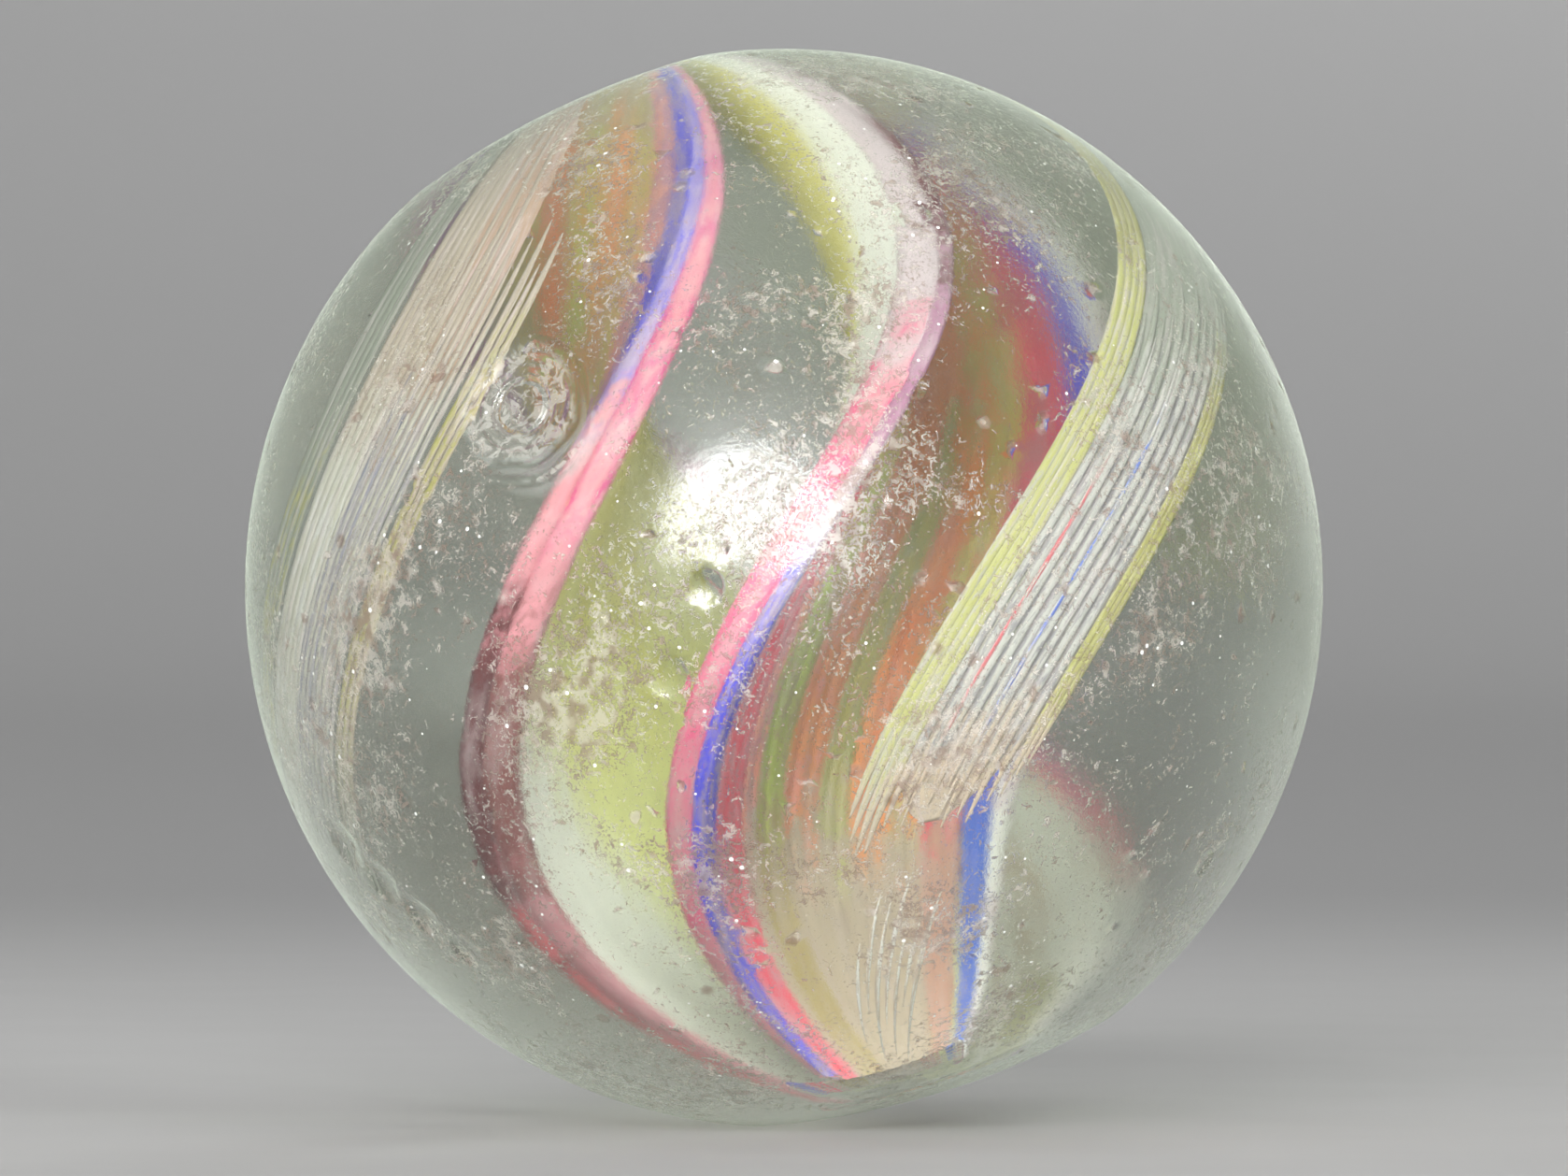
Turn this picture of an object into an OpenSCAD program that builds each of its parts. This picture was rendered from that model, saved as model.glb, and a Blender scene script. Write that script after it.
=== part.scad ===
// Handmade swirl marble: one solid ball of glass.
// The two ends, where the glass was sheared off its cane and rubbed down, are a little flatter
// than the rest. Knocks have left a ring-shaped bruise, a long flake scar and some chips.
// +Z is up, -Y is the front, and the origin is the middle of the ball.
// Longitudes are counted from the front towards the right, and latitudes from the equator up.

/* [Ball] */
// Diameter of the ball
ball_d = 18; // [12:0.5:25]

/* [Rubbed ends] */
// Width of the rubbed surface at each end
end_w = 6.2; // [5:0.1:8]
// Height lost at each end where it was rubbed down
end_loss = 0.19; // [0.05:0.01:0.35]
// Lean of the upper end from upright, towards the left
upper_lean = 26; // [0:1:45]
// Lean of the lower end from straight down, towards the right
lower_lean = 17; // [0:1:45]
// Turn of both ends: the upper one away from the front, the lower one towards it
end_pitch = 6; // [0:1:20]

/* [Ring bruise] */
// Width of the dished hollow round the bruise
bruise_w = 2; // [1.2:0.1:3]
// Depth of the hollow below its rim
bruise_dish = 0.04; // [0.02:0.01:0.1]
// Diameter of the ring crack in the middle of the hollow
ring_d = 0.95; // [0.5:0.05:1.1]
// Radius of the groove that the ring crack leaves
ring_groove_r = 0.06; // [0.04:0.01:0.1]
// Longitude of the bruise
bruise_lon = -30; // [-60:1:60]
// Latitude of the bruise
bruise_lat = 19; // [-60:1:60]

/* [Flake scar] */
// Number of bites in a row that make up the long scar
scar_bites = 4; // [2:1:6]
// Width of the first and widest bite
scar_w = 1; // [0.6:0.1:1.6]
// Depth of the first bite below its rim
scar_dish = 0.06; // [0.03:0.01:0.12]
// Share of its width and depth that the row loses by its last bite
scar_narrowing = 0.3; // [0:0.05:0.6]
// Longitude and latitude of the scar's upper end
scar_start = [-65, -28];
// Longitude and latitude of the scar's lower end
scar_end = [-50, -41];

/* [Chips] */
// Depth of a chip below its rim, as a share of its width
chip_dish_share = 0.07; // [0.04:0.01:0.12]

/* [Hidden] */
ball_r = ball_d / 2;
// Segments of the large round surfaces, of the small ones that cut them, and of the groove
ball_fn = 180;
cut_fn = 96;
groove_fn = 24;
// Each chip: longitude, latitude and width
chips = [
    [-12, -9, 0.75],
    [18, 42, 0.7],
    [14, 21, 0.5],
    [-8, 0, 0.6],
    [-47, -22, 0.45],
    [-42, 9, 0.5],
    [90, 55, 0.5],
    [-84, 46, 0.5],
    [-95, -9, 0.45],
    [-95, -36, 0.45],
    [62, -30, 0.5],
    [140, 20, 0.7],
    [-150, -15, 0.6],
    [175, 48, 0.5],
];

// Height of the plane in which a circle of this width lies on the ball
function rim_height(width) = sqrt(pow(ball_r, 2) - pow(width / 2, 2));

// Radius of the sphere whose cap has this width and rise
function cap_r(width, rise) = (pow(width / 2, 2) + pow(rise, 2)) / (2 * rise);

// Turns +Z to a longitude and latitude
module aim(lon, lat) {
    rotate([0, 0, lon])
        rotate([90 - lat, 0, 0])
            children();
}

// Round cutter on +Z: its bite has this width, and this depth below its rim
module bite(width, dish) {
    r = cap_r(width, dish);
    translate([0, 0, rim_height(width) - dish + r])
        sphere(r = r, $fn = cut_fn);
}

// Large sphere that leaves one rubbed end, with its pole on +Z
module rubbed_end() {
    pole = ball_r - end_loss;
    r = cap_r(end_w, pole - rim_height(end_w));
    translate([0, 0, pole - r])
        sphere(r = r, $fn = ball_fn);
}

// Ball with both ends rubbed down; its own poles lie front and back, clear of the ends
module blank() {
    intersection() {
        rotate([90, 0, 0])
            sphere(r = ball_r, $fn = ball_fn);
        rotate([-end_pitch, -upper_lean, 0])
            rubbed_end();
        rotate([180 - end_pitch, -lower_lean, 0])
            rubbed_end();
    }
}

// Dished hollow, and the groove of the ring crack on its floor
module bruise() {
    r = cap_r(bruise_w, bruise_dish);
    cutter_middle = rim_height(bruise_w) - bruise_dish + r;
    ring_floor = cutter_middle - sqrt(pow(r, 2) - pow(ring_d / 2, 2));
    bite(bruise_w, bruise_dish);
    translate([0, 0, ring_floor])
        rotate_extrude($fn = cut_fn)
            translate([ring_d / 2, 0])
                circle(r = ring_groove_r, $fn = groove_fn);
}

// Long scar: a row of bites that get smaller towards its lower end
module flake_scar() {
    for (i = [0 : scar_bites - 1]) {
        along = i / (scar_bites - 1);
        left = 1 - scar_narrowing * along;
        spot = scar_start + along * (scar_end - scar_start);
        aim(spot[0], spot[1])
            bite(scar_w * left, scar_dish * left);
    }
}

module marble() {
    color("darkseagreen")
        difference() {
            blank();
            aim(bruise_lon, bruise_lat)
                bruise();
            flake_scar();
            for (chip = chips)
                aim(chip[0], chip[1])
                    bite(chip[2], chip_dish_share * chip[2]);
        }
}

marble();
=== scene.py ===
"""Handmade swirl marble: a worn clear glass ball with two twisted ribbons and three thread bands inside."""
import math

import bmesh
import bpy
import numpy as np
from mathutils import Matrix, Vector


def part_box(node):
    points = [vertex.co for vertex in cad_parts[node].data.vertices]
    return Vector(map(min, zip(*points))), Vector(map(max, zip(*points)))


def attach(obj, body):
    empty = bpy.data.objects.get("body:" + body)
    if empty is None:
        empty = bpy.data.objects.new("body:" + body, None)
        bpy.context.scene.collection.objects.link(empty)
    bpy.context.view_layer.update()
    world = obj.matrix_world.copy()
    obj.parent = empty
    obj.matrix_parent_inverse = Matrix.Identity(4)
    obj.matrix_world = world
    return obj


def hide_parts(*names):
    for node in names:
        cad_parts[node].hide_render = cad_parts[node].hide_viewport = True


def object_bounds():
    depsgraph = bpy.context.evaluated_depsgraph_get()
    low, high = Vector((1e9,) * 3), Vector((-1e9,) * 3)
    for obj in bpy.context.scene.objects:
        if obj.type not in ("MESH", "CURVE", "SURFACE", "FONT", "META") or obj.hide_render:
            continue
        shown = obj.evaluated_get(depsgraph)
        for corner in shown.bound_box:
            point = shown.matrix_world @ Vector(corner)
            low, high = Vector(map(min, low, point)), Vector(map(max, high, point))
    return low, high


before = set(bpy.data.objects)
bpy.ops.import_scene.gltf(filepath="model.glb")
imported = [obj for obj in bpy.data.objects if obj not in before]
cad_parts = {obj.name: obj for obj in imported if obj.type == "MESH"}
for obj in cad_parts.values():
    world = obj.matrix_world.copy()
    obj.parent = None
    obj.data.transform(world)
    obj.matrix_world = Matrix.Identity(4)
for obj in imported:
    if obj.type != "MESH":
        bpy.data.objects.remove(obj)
cad_low, cad_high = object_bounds()

MM = 0.001
BODY = "root"
BALL_R = (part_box("marble")[1].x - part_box("marble")[0].x) / 2

# Worn outside, with the sizes of the CAD part, in millimetres and degrees. A place on the ball is
# (longitude, latitude), and a chip is (longitude, latitude, width).
END_W = 6.2
END_LOSS = 0.19
UPPER_LEAN = 26
LOWER_LEAN = 17
END_PITCH = 6
BRUISE_W = 2.0
BRUISE_DISH = 0.04
BRUISE_AT = (-30, 19)
RING_D = 0.95
RING_GROOVE_R = 0.06
SCAR_BITES = 4
SCAR_W = 1.0
SCAR_DISH = 0.06
SCAR_NARROWING = 0.3
SCAR_START = (-65, -28)
SCAR_END = (-50, -41)
CHIP_DISH_SHARE = 0.07
CHIPS = (
    (-12, -9, 0.75),
    (18, 42, 0.7),
    (14, 21, 0.5),
    (-8, 0, 0.6),
    (-47, -22, 0.45),
    (-42, 9, 0.5),
    (90, 55, 0.5),
    (-84, 46, 0.5),
    (-95, -9, 0.45),
    (-95, -36, 0.45),
    (62, -30, 0.5),
    (140, 20, 0.7),
    (-150, -15, 0.6),
    (175, 48, 0.5),
)

# Finer wear, in millimetres and degrees. A pit's half length, narrowness and depth each have a range, and
# its bend, shift and reach are shares of its own size.
RIPPLE_HEIGHT = 0.008
RIPPLE_PITCH = 0.22
RIPPLE_REACH = 1.45
SCAR_LINE = ((-61, -28), (-55, -34), (-50, -38), (-49, -43), (-55, -48))
SCAR_LINE_SPAN = 7
HAIRLINE_HALF = 0.02
HAIRLINE_SWELL = 0.03
HAIRLINE_SWELLS = 2.5
PIT_COUNT = 420
PIT_SEED = 7
PIT_HALF_LENGTH = (0.045, 0.15)
PIT_NARROWNESS = (0.25, 0.8)
PIT_DEPTH = (0.010, 0.025)
PIT_BEND = 0.5
PIT_SHIFT = 0.15
PIT_REACH = 1.6

# Marks of the bruise, in millimetres and degrees. An arc is (radius, half width, strength, the angle it
# is centred on, the angle over which it fades). The ring crack doesn't fade below its least share.
FROST_DISC_R = 1.1
FROST_DISC = 0.45
FROST_ARCS = ((0.85, 0.22, 1.0, 155, 40), (1.33, 0.05, 0.7, -40, 35))
RING_CRACK = (RING_D / 2, 0.035, 0.75, -130, 80)
RING_CRACK_LEAST = 0.35
CRACK_ARCS = ((1.18, 0.06, 0.6, -50, 45), (1.50, 0.06, 0.5, -45, 35))

# How finely the ball's mesh is split, and how far round each mark, in millimetres
BALL_SPLITS = 7
MARK_SPLITS = 2
RING_SPLITS = 1
BRUISE_REACH = 1.6
HAIRLINE_REACH = 0.35
SCAR_MARGIN = 0.15
CHIP_MARGIN = 0.12
PIT_MARGIN = 0.06

# How the ribbons turn and narrow along the swirl's axis. One unit of height is the ball's radius.
RIBBON_LEAN = 16.4
RIBBON_PITCH = 6.6
TURN = (72.3, -1.3, 6.6)
NARROWING = 1.71
LOW_OPENING = 0.48
HIGH_OPENING = 0.15
LOW_DRIFT = 0.29
END_POWER = 8
SWIRL_TOP = 0.965
INSIDE_SHARE = 0.968
RIBBON_LEVELS = 170

# Each ribbon: angle of its section, offset from the axis, near and far edges as factors of the
# powers of height, bow and the place it bows from, and the side that carries its coloured strands.
# The edges stay as they are beyond the heights of EDGE_RANGE.
EDGE_RANGE = (-0.85, 0.6)
LEFT_RIBBON = {
    "angle": -20.7,
    "offset": -0.156,
    "near": (0.747, 0, 0, 0.25),
    "far": (-0.62, -0.07, 0),
    "bow": -0.048,
    "bow_at": 0.0,
    "side": -1,
}
RIGHT_RIBBON = {
    "angle": -18.0,
    "offset": 0.236,
    "near": (0.85, 0.07, -0.13),
    "far": (-0.21, -0.7, -0.76, 1.23, 1.28),
    "bow": 0.327,
    "bow_at": 0.25,
    "side": 1,
}
CORE_HALF = 0.045
CORE_SHARE = 0.96
STRAND_RISE = 0.014
STRAND_WANDER = 0.22
STRAND_OVERLAP = 1.5
STRAND_SWELL = 0.4
STRAND_RAG = 0.25
TUBES_EACH = 3
EDGE_WANDER = 0.012
EDGE_RAG = 0.008

# The bands of threads lie just under the surface, and lean a little less than the ribbons
BAND_LEAN = 13.8
BAND_PITCH = 8.9
BAND_TURN = (58.6, -0.1, -8.9)
BAND_TOP = 0.972
THREAD_DEPTH = 0.95
THREAD_RISE = 0.004
THREAD_END_SPREAD = 0.05
BED_DEPTH = 0.944
BED_RISE = 0.005
BAND_LEVELS = 130
BAND_TAPER = 0.12
BAND_TIP = 0.04
MARK_DEGREES = 40

# How many waves each kind of wobble has along the axis
SLOW_WAVES = (2.3, 4.1, 7.7)
RAGGED_WAVES = (13.3, 21.7, 34.1)

# Stage, light and camera: metres, the picture's own frame, and the lens in millimetres. BALL_SHARE is how
# much of the frame's height the ball fills.
PALE_R = 0.15
FLOOR_R = 0.75
SWEEP_R = 1.8
SWEEP_STEPS = 24
FLOOR_SIDES = 96
FILL_DISTANCE = 1.8
FILL_SIZE = 0.75
WORLD_GREY = 0.30
FRAME_W = 1678
FRAME_H = 1258
BALL_SHARE = 0.917
LENS = 250
SENSOR_W = 36


def direction(lon, lat):
    """Unit vector at a longitude counted from the front (-Y) towards +X, and a latitude, in degrees."""
    lon, lat = math.radians(lon), math.radians(lat)
    return np.array([math.sin(lon) * math.cos(lat), -math.cos(lon) * math.cos(lat), math.sin(lat)])


def swirl_axes(lean, pitch):
    """Unit vectors of a swirl to its right, its front and along its axis, from the axis's lean and pitch."""
    lean, pitch = math.radians(lean), math.radians(pitch)
    along = np.array([-math.sin(lean) * math.cos(pitch), math.sin(pitch), math.cos(lean) * math.cos(pitch)])
    front = np.array([0.0, -1.0, 0.0])
    front -= along * front.dot(along)
    front /= np.linalg.norm(front)
    return np.array([np.cross(along, front), front, along])


RIBBON_AXES = swirl_axes(RIBBON_LEAN, RIBBON_PITCH)
BAND_AXES = swirl_axes(BAND_LEAN, BAND_PITCH)


def in_ball(axes, right, front, height):
    """Points in the frame from distances along a swirl's axes, in ball radii. None gets out of the glass."""
    points = np.stack([right, front, height], axis=-1) @ axes
    distance = np.linalg.norm(points, axis=-1, keepdims=True)
    return BALL_R * points * np.minimum(1, INSIDE_SHARE / np.maximum(distance, 1e-6))


def narrowing(height):
    """How much the twisted glass is drawn in at each height: 1 in the middle, and still open at the ends."""
    opening = np.where(height < 0, LOW_OPENING, HIGH_OPENING)
    return (1 - height ** 2) ** NARROWING + opening * height ** END_POWER


def drift(height):
    """How far the axis has wandered to the front near its lower end."""
    return LOW_DRIFT * np.clip(-height, 0, 1) ** END_POWER


def core_point(ribbon, across, depth, height):
    """Point of a twisted ribbon. across runs from -1 at its far edge to 1 at its near edge."""
    level = np.clip(height, *EDGE_RANGE)
    near, far = (np.polynomial.polynomial.polyval(level, ribbon[edge]) for edge in ("near", "far"))
    u = far + (near - far) * (across + 1) / 2
    v = depth + ribbon["offset"] + ribbon["bow"] * (u - ribbon["bow_at"]) ** 2
    angle = math.radians(ribbon["angle"])
    x = u * math.sin(angle) + v * math.cos(angle)
    y = u * math.cos(angle) - v * math.sin(angle)
    turn = np.radians(TURN[0] * height + TURN[1] * height ** 2 + TURN[2] * height ** 3)
    narrow = narrowing(height)
    right = narrow * (x * np.cos(turn) + y * np.sin(turn))
    front = narrow * (y * np.cos(turn) - x * np.sin(turn)) + drift(height)
    return in_ball(RIBBON_AXES, right, front, height)


def heights(count, low=-SWIRL_TOP, high=SWIRL_TOP):
    """Heights along the axis, closer together near the ends."""
    steps = np.linspace(-1, 1, count)
    eased = np.sin(steps * math.pi / 2) * 0.5 + steps * 0.5
    return low + (high - low) * (eased + 1) / 2


def wander(height, seed, amount, waves=SLOW_WAVES):
    """Seeded wobble along the axis, about as large as amount."""
    rng = np.random.default_rng(seed)
    total = np.zeros_like(height)
    for count in waves:
        total += np.sin(height * count * math.pi + rng.uniform(0, 2 * math.pi)) * waves[0] / count
    return amount * total / 2


def new_object(name, mesh, material):
    """Adds a finished mesh to the scene as a piece that rides on the ball's body."""
    piece = bpy.data.objects.new(name, mesh)
    bpy.context.scene.collection.objects.link(piece)
    mesh.materials.append(material)
    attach(piece, BODY)
    return piece


def add_tubes(name, tubes, material):
    """One piece of closed tubes. Each tube is (rings, marks): points and strand marks, level by level."""
    points, faces, marks = [], [], []
    start = 0
    for rings, ring_marks in tubes:
        levels, around = rings.shape[:2]
        points.append(rings.reshape(-1, 3))
        marks.append(ring_marks.reshape(-1, 3))
        for level in range(levels - 1):
            for i in range(around):
                j = (i + 1) % around
                a = start + level * around
                b = a + around
                faces.append((a + i, a + j, b + j, b + i))
        faces.append(tuple(start + i for i in reversed(range(around))))
        faces.append(tuple(start + (levels - 1) * around + i for i in range(around)))
        start += levels * around
    mesh = bpy.data.meshes.new(name)
    mesh.from_pydata(np.concatenate(points).tolist(), [], faces)
    attribute = mesh.attributes.new("strand", "FLOAT_VECTOR", "POINT")
    attribute.data.foreach_set("vector", np.concatenate(marks).astype(np.float32).ravel())
    shape = bmesh.new()
    shape.from_mesh(mesh)
    bmesh.ops.recalc_face_normals(shape, faces=shape.faces)
    shape.to_mesh(mesh)
    shape.free()
    mesh.shade_smooth()
    new_object(name, mesh, material)


def oval(around, squareness):
    """Outline of a rounded section: a circle at squareness 1, and nearly a box close to 0."""
    angle = np.arange(around) * 2 * math.pi / around
    x, y = np.cos(angle), np.sin(angle)
    return np.sign(x) * np.abs(x) ** squareness, np.sign(y) * np.abs(y) ** squareness


def ribbon_tube(ribbon, centre, half_width, depth, half_depth, squareness=1.0, around=10, place=0.0,
                share=1.0):
    """Closed tube along a ribbon. centre and half_width are shares of its half width at each height.
    place and share say where in its strand the tube lies, and how much of the strand it takes."""
    height = heights(RIBBON_LEVELS)
    across_unit, depth_unit = oval(around, squareness)
    across = centre(height)[:, None] + half_width(height)[:, None] * across_unit
    through = depth + half_depth * depth_unit + np.zeros_like(across)
    level = height[:, None] + np.zeros_like(across)
    rings = core_point(ribbon, across, through, level)
    rim = np.zeros_like(across) + place + share * across_unit
    return rings, np.stack([across, level, rim], axis=-1)


class Graph:
    """Small helper that builds one material's nodes."""

    def __init__(self, name):
        self.material = bpy.data.materials.new(name)
        self.material.use_nodes = True
        self.tree = self.material.node_tree
        self.tree.nodes.clear()

    def add(self, kind, **settings):
        """A new node with these settings."""
        node = self.tree.nodes.new(kind)
        for key, value in settings.items():
            setattr(node, key, value)
        return node

    def put(self, socket, value):
        """Links a socket to a socket, or sets it to a plain value."""
        if isinstance(value, bpy.types.NodeSocket):
            self.tree.links.new(value, socket)
        else:
            socket.default_value = value

    def math(self, operation, a, b=0.0, c=0.0, clamp=False):
        """Output of one operation. MULTIPLY_ADD is a * b + c."""
        node = self.add("ShaderNodeMath", operation=operation, use_clamp=clamp)
        for socket, value in zip(node.inputs, (a, b, c)):
            self.put(socket, value)
        return node.outputs[0]

    def scaled(self, vector, scale):
        """A vector with each of its parts scaled by its own factor."""
        node = self.add("ShaderNodeVectorMath", operation="MULTIPLY")
        self.put(node.inputs[0], vector)
        node.inputs[1].default_value = scale
        return node.outputs[0]

    def noise(self, vector, scale=1.0, detail=3.0, roughness=0.5, distortion=0.0):
        """Cloudy noise, mostly between 0.3 and 0.7."""
        node = self.add("ShaderNodeTexNoise")
        self.put(node.inputs["Vector"], vector)
        node.inputs["Scale"].default_value = scale
        node.inputs["Detail"].default_value = detail
        node.inputs["Roughness"].default_value = roughness
        node.inputs["Distortion"].default_value = distortion
        return node.outputs["Fac"]

    def bump(self, height, distance):
        """Normal that is roughened by a height, at half strength."""
        node = self.add("ShaderNodeBump")
        node.inputs["Strength"].default_value = 0.5
        node.inputs["Distance"].default_value = distance
        self.put(node.inputs["Height"], height)
        return node.outputs[0]

    def step(self, value, low, high):
        """Smooth step from 0 at low to 1 at high. low may be the larger."""
        node = self.add("ShaderNodeMapRange", interpolation_type="SMOOTHSTEP")
        self.put(node.inputs["Value"], value)
        node.inputs["From Min"].default_value = low
        node.inputs["From Max"].default_value = high
        return node.outputs["Result"]

    def mix(self, share, a, b):
        """Colour a where share is 0, and b where it is 1."""
        node = self.add("ShaderNodeMix", data_type="RGBA")
        self.put(node.inputs["Factor"], share)
        self.put(node.inputs["A"], a)
        self.put(node.inputs["B"], b)
        return [s for s in node.outputs if s.type == "RGBA"][0]

    def strand(self):
        """Sockets of the strand marks: all three as a vector, then place across the ribbon, height, and
        place across the strand."""
        vector = self.add("ShaderNodeAttribute", attribute_name="strand").outputs["Vector"]
        split = self.add("ShaderNodeSeparateXYZ")
        self.put(split.inputs[0], vector)
        return vector, split.outputs["X"], split.outputs["Y"], split.outputs["Z"]

    def matte(self, colour, shade):
        """Glass inside glass: no gloss of its own, and its colour made lighter and darker by shade."""
        tinted = self.add("ShaderNodeVectorMath", operation="SCALE")
        self.put(tinted.inputs[0], colour)
        self.put(tinted.inputs["Scale"], shade)
        return self.principled(Base_Color=tinted.outputs[0], Roughness=0.5, Specular_IOR_Level=0.0).outputs[0]

    def principled(self, **values):
        """The main shader, with its sockets named by these keywords."""
        node = self.add("ShaderNodeBsdfPrincipled")
        for key, value in values.items():
            self.put(node.inputs[key.replace("_", " ")], value)
        return node

    def finish(self, shader, volume=None):
        """The finished material."""
        output = self.add("ShaderNodeOutputMaterial")
        self.tree.links.new(shader, output.inputs["Surface"])
        if volume is not None:
            self.tree.links.new(volume, output.inputs["Volume"])
        return self.material


def rgb(red, green, blue):
    """Linear colour with alpha, from sRGB parts of 255."""
    def linear(part):
        part /= 255
        return part / 12.92 if part <= 0.04045 else ((part + 0.055) / 1.055) ** 2.4
    return (linear(red), linear(green), linear(blue), 1.0)


PINK = rgb(228, 76, 148)
HOT_PINK = rgb(252, 104, 152)
DUSTY_PINK = rgb(228, 154, 166)
DUSTY_RED = rgb(220, 108, 118)
MAUVE = rgb(192, 138, 170)
PALE_MAUVE = rgb(222, 206, 212)
BLUE = rgb(86, 82, 244)
SKY = rgb(70, 116, 228)
VIOLET = rgb(112, 92, 190)
LAVENDER = rgb(170, 150, 196)
RED = rgb(255, 92, 118)
SALMON = rgb(255, 168, 146)
GREEN = rgb(204, 220, 110)
OLIVE = rgb(212, 198, 112)
ORANGE = rgb(255, 166, 106)
RUST = rgb(255, 148, 92)
TAN = rgb(192, 172, 122)
BEIGE = rgb(204, 186, 164)
CREAM = rgb(190, 188, 174)
SAND = rgb(178, 166, 150)
WHITE = rgb(248, 248, 242)
PALE_YELLOW = rgb(246, 246, 176)
YELLOW = rgb(240, 232, 140)
DULL_YELLOW = rgb(172, 168, 100)
BAND_YELLOW = rgb(196, 196, 128)
MAROON = rgb(104, 46, 50)
DULL_MAROON = rgb(142, 82, 80)
GREY_WHITE = rgb(202, 202, 198)
PAINTED_SHADE_GREY = rgb(186, 184, 166)
ROSE_BEIGE = rgb(214, 166, 146)
WARM_SAND = rgb(186, 158, 138)
GREY_LAVENDER = rgb(158, 156, 160)
SLATE = rgb(128, 132, 150)
HAZE = rgb(140, 146, 134)
PALE_HAZE = rgb(166, 172, 160)

# Colours of the worn skin with its painted glints, the clear glass and the stage. BODY_DENSITY is how
# strongly the glass tints.
PALE_WEAR = rgb(212, 206, 196)
BROWN_WEAR = rgb(158, 140, 128)
FROST = rgb(222, 216, 206)
PAINTED_GLINT_COLOUR = rgb(250, 250, 246)
DARK_CRACK = rgb(70, 48, 44)
CLEAR_GLASS = (0.80, 0.84, 0.78, 1.0)
SHEEN_TINT = (0.75, 0.86, 0.70, 1.0)
SHADOW_TINT = (0.87, 0.89, 0.86, 1.0)
BODY_TINT = (0.56, 0.67, 0.47, 1.0)
BODY_DENSITY = 25.0
PALE_FLOOR = (0.50, 0.50, 0.495, 1.0)
PALER_FLOOR = (0.54, 0.54, 0.535, 1.0)
BACKDROP = (0.33, 0.33, 0.33, 1.0)


def streaked_glass(name, colour, second, share=0.5, changes=()):
    """Coloured glass of a strand, with blotches and streaks of a second colour, and a milky bloom.
    share is how much the second colour covers. Each change along the strand is
    (colour, height where it starts, height where it is full)."""
    g = Graph(name)
    marks, _, along, rim = g.strand()
    fine = g.noise(g.scaled(marks, (50.0, 14.0, 2.0)), detail=5.0, roughness=0.7, distortion=0.5)
    blotch = g.noise(g.scaled(marks, (15.0, 18.0, 0.8)), detail=5.0, roughness=0.65, distortion=0.8)
    broken = g.math("MULTIPLY_ADD", g.math("SUBTRACT", fine, 0.5), 0.4, blotch)
    milk = g.noise(g.scaled(marks, (25.0, -7.0, 2.0)), detail=5.0, roughness=0.7, distortion=0.4)
    side = g.math("MULTIPLY_ADD", g.math("SUBTRACT", fine, 0.5), 2.6, g.math("ABSOLUTE", rim))
    body = g.mix(g.step(side, 0.45, 1.2), colour, second)
    middle = 0.5 + (0.5 - share) * 0.3
    body = g.mix(g.step(broken, middle - 0.06, middle + 0.07), body, second)
    place = g.math("MULTIPLY_ADD", g.math("SUBTRACT", blotch, 0.5), 0.6, along)
    for other, start, full in changes:
        body = g.mix(g.step(place, start, full), body, other)
    body = g.mix(g.math("MULTIPLY", g.step(milk, 0.44, 0.70), 0.5), body, PALE_MAUVE)
    shade = g.math("MULTIPLY_ADD", fine, 0.5, 0.76)
    return g.finish(g.matte(body, shade))


def ribbon_core_glass(name, white_edge, slope, far_white):
    """White and yellow inside of a ribbon. It is white past white_edge, which moves by slope with the
    height, and streaky beyond far_white at its other edge. The yellow is deeper high up."""
    g = Graph(name)
    marks, across, along, _ = g.strand()
    fine = g.noise(g.scaled(marks, (24.0, 5.0, 1.0)), detail=6.0, roughness=0.65, distortion=0.5)
    cloud = g.noise(g.scaled(marks, (5.0, 4.0, 1.0)), detail=3.0)
    loose = g.math("MULTIPLY_ADD", g.math("SUBTRACT", fine, 0.5), 0.5, across)
    place = g.math("MULTIPLY_ADD", along, -slope, loose)
    high = g.math("MULTIPLY_ADD", g.math("SUBTRACT", cloud, 0.5), 1.2, along)
    yellow = g.mix(g.step(high, -0.15, 0.35), PALE_YELLOW, YELLOW)
    body = g.mix(g.step(place, white_edge - 0.12, white_edge + 0.12), yellow, WHITE)
    far_body = g.mix(g.step(fine, 0.48, 0.66), WHITE, BEIGE)
    far_body = g.mix(g.step(high, -0.62, -0.80), far_body, DULL_YELLOW)
    body = g.mix(g.step(loose, far_white + 0.15, far_white - 0.1), body, far_body)
    # Painted shade: the core turns greyer towards the bottom
    body = g.mix(g.math("MULTIPLY", g.step(high, -0.25, -0.75), 0.4), body, PAINTED_SHADE_GREY)
    shade = g.math("MULTIPLY_ADD", fine, 0.4, 0.78)
    return g.finish(g.matte(body, shade))


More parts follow.
